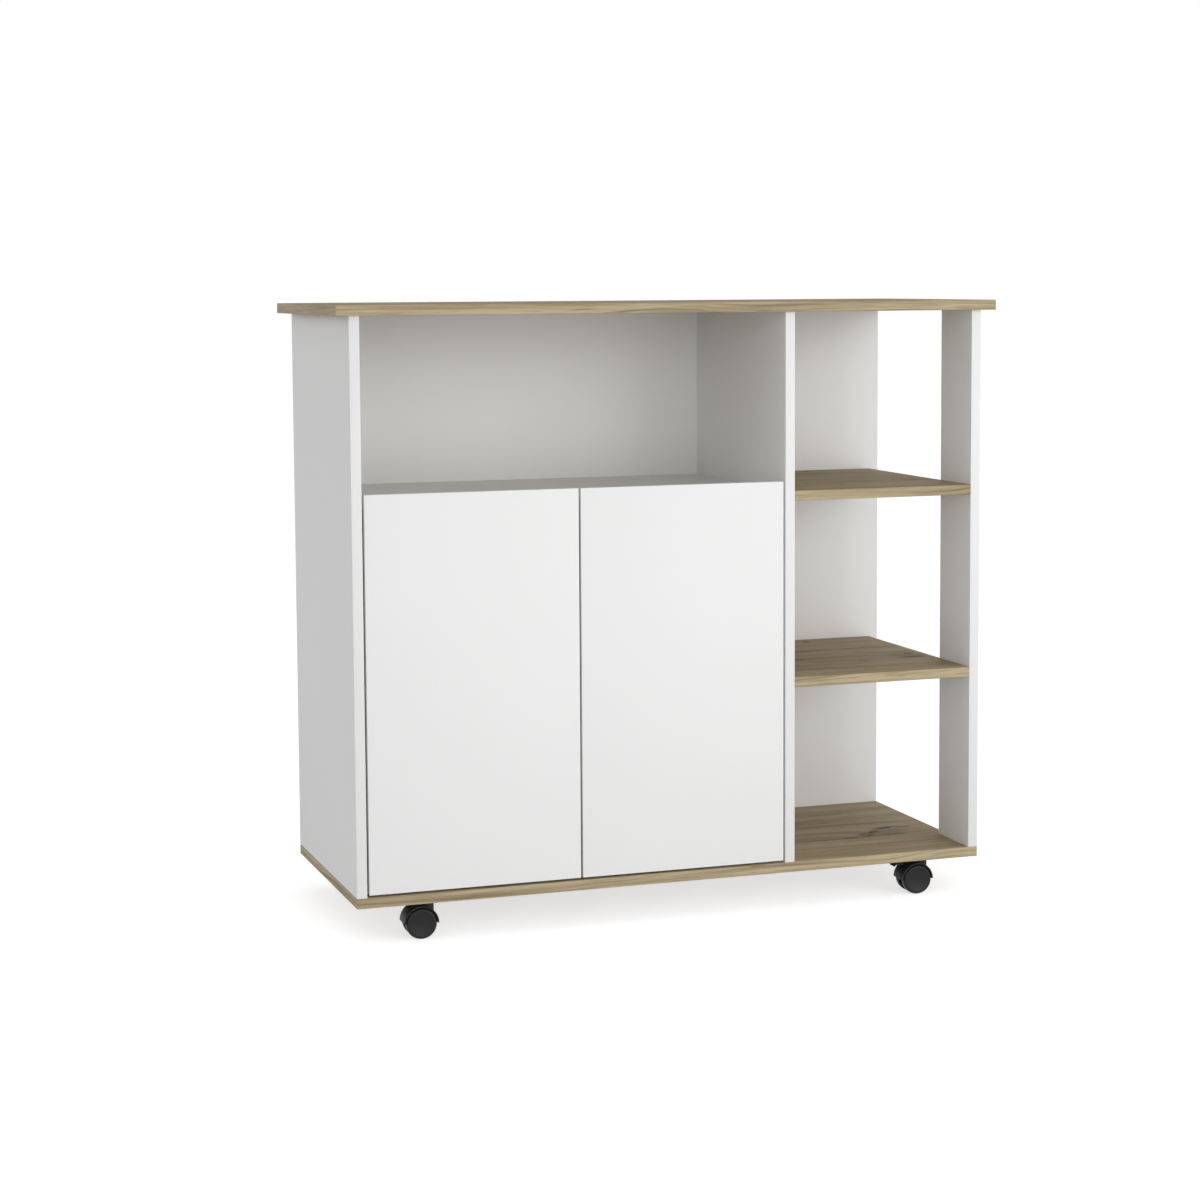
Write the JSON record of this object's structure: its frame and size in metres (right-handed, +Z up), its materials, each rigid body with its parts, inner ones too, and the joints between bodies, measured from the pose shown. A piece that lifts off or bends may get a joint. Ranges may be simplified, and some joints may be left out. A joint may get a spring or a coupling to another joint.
{
  "type": "kitchen cart",
  "caption": "Kitchen cart with a wood worktop, a two-door cabinet under an open niche, an open shelf tower beside it and swivel twin-wheel casters.",
  "frame": {"origin": "on the floor, under the middle of the worktop", "axes": "+X to the right as seen from the front, along the width; +Y from the doors to the back; +Z up"},
  "size_m": [1.008, 0.4, 0.9],
  "materials": {
    "white_board": "white melamine on particleboard, satin, edges banded to match",
    "oak_board": "light oak decor on particleboard, matt, with printed grain and knots",
    "zinc_plated_steel": "bright zinc plating",
    "nickel_plated_steel": "nickel plating on pressed steel",
    "catch_plastic": "white moulded plastic, matt",
    "caster_plastic": "black moulded nylon, satin",
    "wheel_plastic": "black moulded nylon, satin"
  },
  "bodies": {
    "cart": {"left_side_panel": "white_board", "divider_panel": "white_board", "tower_post": "white_board", "back_panel": "white_board", "niche_floor": "white_board", "inner_shelf": "white_board", "worktop": "oak_board", "base_board": "oak_board", "upper_open_shelf": "oak_board", "lower_open_shelf": "oak_board", "shelf_brackets": "zinc_plated_steel", "caster_plates": "zinc_plated_steel", "caster_stems": "zinc_plated_steel", "left_hinge_arms": "nickel_plated_steel", "right_hinge_arms": "nickel_plated_steel", "hinge_mounting_plates": "nickel_plated_steel", "magnetic_catch": "catch_plastic"},
    "left_door": {"left_door": "white_board", "left_hinge_cups": "nickel_plated_steel", "left_hinge_pins": "nickel_plated_steel", "left_strike_plate": "nickel_plated_steel"},
    "right_door": {"right_door": "white_board", "right_hinge_cups": "nickel_plated_steel", "right_hinge_pins": "nickel_plated_steel", "right_strike_plate": "nickel_plated_steel"},
    "front_left_caster": {"front_left_caster_housing": "caster_plastic", "front_left_caster_axle": "zinc_plated_steel"},
    "front_left_caster_near_wheel": {"front_left_caster_near_wheel": "wheel_plastic"},
    "front_left_caster_far_wheel": {"front_left_caster_far_wheel": "wheel_plastic"},
    "front_right_caster": {"front_right_caster_housing": "caster_plastic", "front_right_caster_axle": "zinc_plated_steel"},
    "front_right_caster_near_wheel": {"front_right_caster_near_wheel": "wheel_plastic"},
    "front_right_caster_far_wheel": {"front_right_caster_far_wheel": "wheel_plastic"},
    "front_right_brake_lever": {"front_right_brake_lever": "caster_plastic"},
    "back_left_caster": {"back_left_caster_housing": "caster_plastic", "back_left_caster_axle": "zinc_plated_steel"},
    "back_left_caster_near_wheel": {"back_left_caster_near_wheel": "wheel_plastic"},
    "back_left_caster_far_wheel": {"back_left_caster_far_wheel": "wheel_plastic"},
    "back_left_brake_lever": {"back_left_brake_lever": "caster_plastic"},
    "back_right_caster": {"back_right_caster_housing": "caster_plastic", "back_right_caster_axle": "zinc_plated_steel"},
    "back_right_caster_near_wheel": {"back_right_caster_near_wheel": "wheel_plastic"},
    "back_right_caster_far_wheel": {"back_right_caster_far_wheel": "wheel_plastic"}
  },
  "joints": [
    {"name": "left_door_hinge", "type": "hinge", "parent": "cart", "child": "left_door", "pos_m": [-0.456, -0.1831, 0.354], "axis": [0, 0, -1], "range_deg": [0, 95]},
    {"name": "right_door_hinge", "type": "hinge", "parent": "cart", "child": "right_door", "pos_m": [0.154, -0.1831, 0.354], "axis": [0, 0, 1], "range_deg": [0, 95]},
    {"name": "front_left_swivel", "type": "hinge", "parent": "cart", "child": "front_left_caster", "pos_m": [-0.378, -0.1658, 0.041], "axis": [0, 0, 1], "continuous": true},
    {"name": "front_left_near_wheel_spin", "type": "hinge", "parent": "front_left_caster", "child": "front_left_caster_near_wheel", "pos_m": [-0.38799, -0.16545, 0.0225], "axis": [0.0349, 0.9994, 0], "continuous": true},
    {"name": "front_left_far_wheel_spin", "type": "hinge", "parent": "front_left_caster", "child": "front_left_caster_far_wheel", "pos_m": [-0.38799, -0.16545, 0.0225], "axis": [0.0349, 0.9994, 0], "continuous": true},
    {"name": "front_right_swivel", "type": "hinge", "parent": "cart", "child": "front_right_caster", "pos_m": [0.3985, -0.1658, 0.041], "axis": [0, 0, 1], "continuous": true},
    {"name": "front_right_near_wheel_spin", "type": "hinge", "parent": "front_right_caster", "child": "front_right_caster_near_wheel", "pos_m": [0.38851, -0.16545, 0.0225], "axis": [0.0349, 0.9994, 0], "continuous": true},
    {"name": "front_right_far_wheel_spin", "type": "hinge", "parent": "front_right_caster", "child": "front_right_caster_far_wheel", "pos_m": [0.38851, -0.16545, 0.0225], "axis": [0.0349, 0.9994, 0], "continuous": true},
    {"name": "front_right_brake", "type": "hinge", "parent": "front_right_caster", "child": "front_right_brake_lever", "pos_m": [0.37751, -0.16507, 0.04], "axis": [-0.0349, -0.9994, 0], "range_deg": [0, 15]},
    {"name": "back_left_swivel", "type": "hinge", "parent": "cart", "child": "back_left_caster", "pos_m": [-0.378, 0.1658, 0.041], "axis": [0, 0, 1], "continuous": true},
    {"name": "back_left_near_wheel_spin", "type": "hinge", "parent": "back_left_caster", "child": "back_left_caster_near_wheel", "pos_m": [-0.38796, 0.16493, 0.0225], "axis": [-0.0872, 0.9962, 0], "continuous": true},
    {"name": "back_left_far_wheel_spin", "type": "hinge", "parent": "back_left_caster", "child": "back_left_caster_far_wheel", "pos_m": [-0.38796, 0.16493, 0.0225], "axis": [-0.0872, 0.9962, 0], "continuous": true},
    {"name": "back_left_brake", "type": "hinge", "parent": "back_left_caster", "child": "back_left_brake_lever", "pos_m": [-0.39892, 0.16397, 0.04], "axis": [0.0872, -0.9962, 0], "range_deg": [0, 15]},
    {"name": "back_right_swivel", "type": "hinge", "parent": "cart", "child": "back_right_caster", "pos_m": [0.3985, 0.1658, 0.041], "axis": [0, 0, 1], "continuous": true},
    {"name": "back_right_near_wheel_spin", "type": "hinge", "parent": "back_right_caster", "child": "back_right_caster_near_wheel", "pos_m": [0.38858, 0.16702, 0.0225], "axis": [0.1219, 0.9925, 0], "continuous": true},
    {"name": "back_right_far_wheel_spin", "type": "hinge", "parent": "back_right_caster", "child": "back_right_caster_far_wheel", "pos_m": [0.38858, 0.16702, 0.0225], "axis": [0.1219, 0.9925, 0], "continuous": true}
  ]
}
